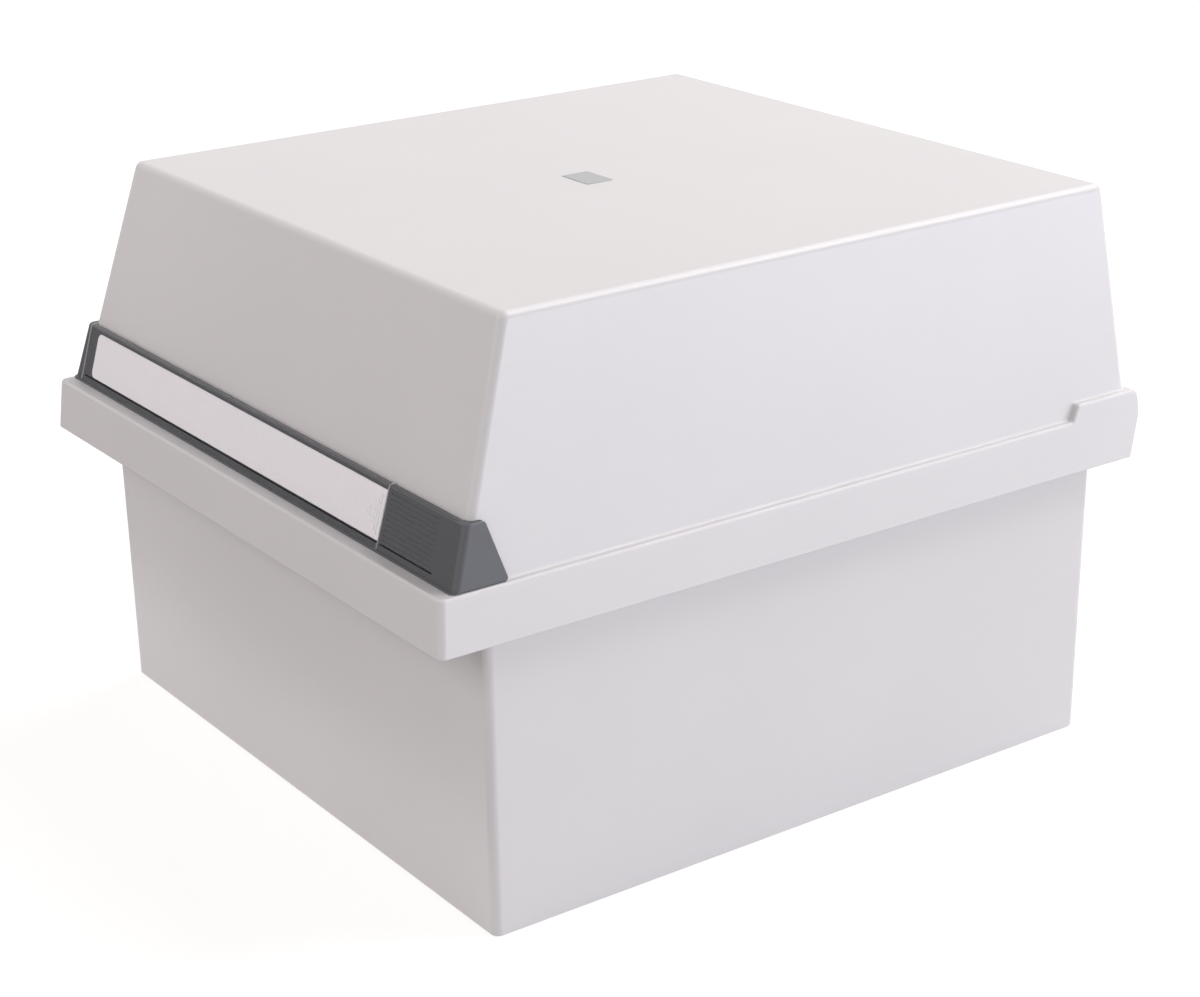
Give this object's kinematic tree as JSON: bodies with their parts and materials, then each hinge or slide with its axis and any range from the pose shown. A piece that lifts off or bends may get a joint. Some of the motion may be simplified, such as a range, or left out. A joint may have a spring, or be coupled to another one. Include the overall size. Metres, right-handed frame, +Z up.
{
  "type": "card file box",
  "caption": "Moulded box with a flared, hinged lid for filing cards upright, a front label holder with a clear cover, and a sliding support plate inside.",
  "frame": {"origin": "on the table under the centre of the closed box", "axes": "+X right, +Y from the front to the hinge, +Z up"},
  "size_m": [0.343, 0.3772, 0.2597],
  "materials": {
    "grey_plastic": "satin moulded light grey",
    "rod_steel": "bright drawn",
    "dark_plastic": "fine grained dark grey",
    "clear_plastic": "clear",
    "label_paper": "plain white paper",
    "badge_metal": "satin silver",
    "plate_steel": "galvanised"
  },
  "bodies": {
    "tray": {"base_tray": "grey_plastic", "hinge_rod": "rod_steel"},
    "lid": {"lid_shell": "grey_plastic", "label_holder": "dark_plastic", "label_strip": "label_paper", "lid_badge": "badge_metal"},
    "cover": {"label_cover": "clear_plastic"},
    "follower": {"support_plate": "plate_steel"}
  },
  "joints": [
    {"name": "lid_hinge", "type": "hinge", "parent": "tray", "child": "lid", "pos_m": [0, 0.1745, 0.1553], "axis": [-1, 0, 0], "range_deg": [0, 105]},
    {"name": "cover_slide", "type": "slide", "parent": "lid", "child": "cover", "axis": [1, 0, 0], "range_m": [0, 0.039]},
    {"name": "follower_slide", "type": "slide", "parent": "tray", "child": "follower", "axis": [0, 1, 0], "range_m": [-0.25, 0]}
  ]
}
